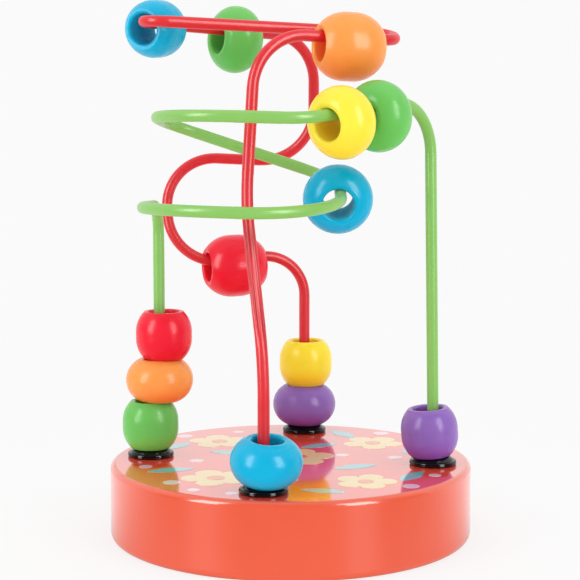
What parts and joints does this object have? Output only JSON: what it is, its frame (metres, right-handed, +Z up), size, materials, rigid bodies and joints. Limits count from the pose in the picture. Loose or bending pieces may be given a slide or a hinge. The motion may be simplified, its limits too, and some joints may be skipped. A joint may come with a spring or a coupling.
{
  "type": "bead maze",
  "caption": "Small bead maze: a round wooden base holds bent sleeved wires whose open loops carry coloured wooden beads that slide along them.",
  "frame": {"origin": "centre of the round base's underside, on the surface it stands on", "axes": "+Z up, -Y towards the viewer of the picture, +X to that viewer's right"},
  "size_m": [0.096, 0.096, 0.1414],
  "materials": {
    "coral_lacquer": "gloss coral lacquer on turned wood",
    "black_plastic": "gloss black moulded plastic",
    "steel_wire": "bright drawn steel wire",
    "red_sleeve_plastic": "semi-gloss red plastic tube",
    "green_sleeve_plastic": "semi-gloss light green plastic tube",
    "blue_lacquer": "semi-gloss blue lacquer on turned wood",
    "orange_lacquer": "semi-gloss orange lacquer on turned wood",
    "yellow_lacquer": "semi-gloss yellow lacquer on turned wood",
    "gold_lacquer": "semi-gloss golden yellow lacquer on turned wood",
    "green_lacquer": "semi-gloss green lacquer on turned wood",
    "red_lacquer": "semi-gloss red lacquer on turned wood",
    "purple_lacquer": "semi-gloss purple lacquer on turned wood"
  },
  "bodies": {
    "frame": {"base": "coral_lacquer", "front_cap": "black_plastic", "right_cap": "black_plastic", "back_cap": "black_plastic", "left_cap": "black_plastic", "red_wire": "steel_wire", "red_sleeve": "red_sleeve_plastic", "green_wire": "steel_wire", "green_sleeve": "green_sleeve_plastic"},
    "front_blue": {"front_blue_bead": "blue_lacquer"},
    "top_orange": {"top_orange_bead": "orange_lacquer"},
    "top_blue": {"top_blue_bead": "blue_lacquer"},
    "top_green": {"top_green_bead": "green_lacquer"},
    "middle_red": {"middle_red_bead": "red_lacquer"},
    "back_yellow": {"back_yellow_bead": "gold_lacquer"},
    "back_purple": {"back_purple_bead": "purple_lacquer"},
    "left_green": {"left_green_bead": "green_lacquer"},
    "left_orange": {"left_orange_bead": "orange_lacquer"},
    "left_red": {"left_red_bead": "red_lacquer"},
    "lower_blue": {"lower_blue_bead": "blue_lacquer"},
    "upper_yellow": {"upper_yellow_bead": "yellow_lacquer"},
    "upper_green": {"upper_green_bead": "green_lacquer"},
    "right_purple": {"right_purple_bead": "purple_lacquer"}
  },
  "joints": [
    {"name": "front_blue_slide", "type": "slide", "parent": "frame", "child": "front_blue", "axis": [0, 0, 1], "range_m": [0, 0.014]},
    {"name": "right_purple_slide", "type": "slide", "parent": "frame", "child": "right_purple", "axis": [0, 0, 1], "range_m": [0, 0.062]},
    {"name": "back_purple_slide", "type": "slide", "parent": "frame", "child": "back_purple", "axis": [0, 0, 1], "range_m": [0, 0.007]},
    {"name": "back_yellow_slide", "type": "slide", "parent": "back_purple", "child": "back_yellow", "axis": [0, 0, 1], "range_m": [0, 0.007]},
    {"name": "left_green_slide", "type": "slide", "parent": "frame", "child": "left_green", "axis": [0, 0, 1], "range_m": [0, 0.008]},
    {"name": "left_orange_slide", "type": "slide", "parent": "left_green", "child": "left_orange", "axis": [0, 0, 1], "range_m": [0, 0.008]},
    {"name": "left_red_slide", "type": "slide", "parent": "left_orange", "child": "left_red", "axis": [0, 0, 1], "range_m": [0, 0.009]},
    {"name": "top_orange_slide", "type": "slide", "parent": "frame", "child": "top_orange", "axis": [0.9027, 0.4286, -0.0378], "range_m": [-0.012, 0.0025]},
    {"name": "top_blue_slide", "type": "slide", "parent": "frame", "child": "top_blue", "axis": [0.3898, 0.9206, -0.0249], "range_m": [-0.002, 0.002]},
    {"name": "top_green_slide", "type": "slide", "parent": "frame", "child": "top_green", "axis": [0.8589, 0.5086, -0.0602], "range_m": [-0.007, 0.012]},
    {"name": "middle_red_slide", "type": "slide", "parent": "frame", "child": "middle_red", "axis": [0.9629, 0.2584, 0.0775], "range_m": [0, 0.008]},
    {"name": "lower_blue_slide", "type": "slide", "parent": "frame", "child": "lower_blue", "axis": [0.006, 0.9935, 0.1133], "range_m": [-0.008, 0.008]},
    {"name": "upper_yellow_slide", "type": "slide", "parent": "frame", "child": "upper_yellow", "axis": [0.6524, 0.7523, 0.0918], "range_m": [-0.004, 0.0014]},
    {"name": "upper_green_slide", "type": "slide", "parent": "frame", "child": "upper_green", "axis": [0.6524, 0.7523, 0.0918], "range_m": [-0.0014, 0.01]}
  ]
}
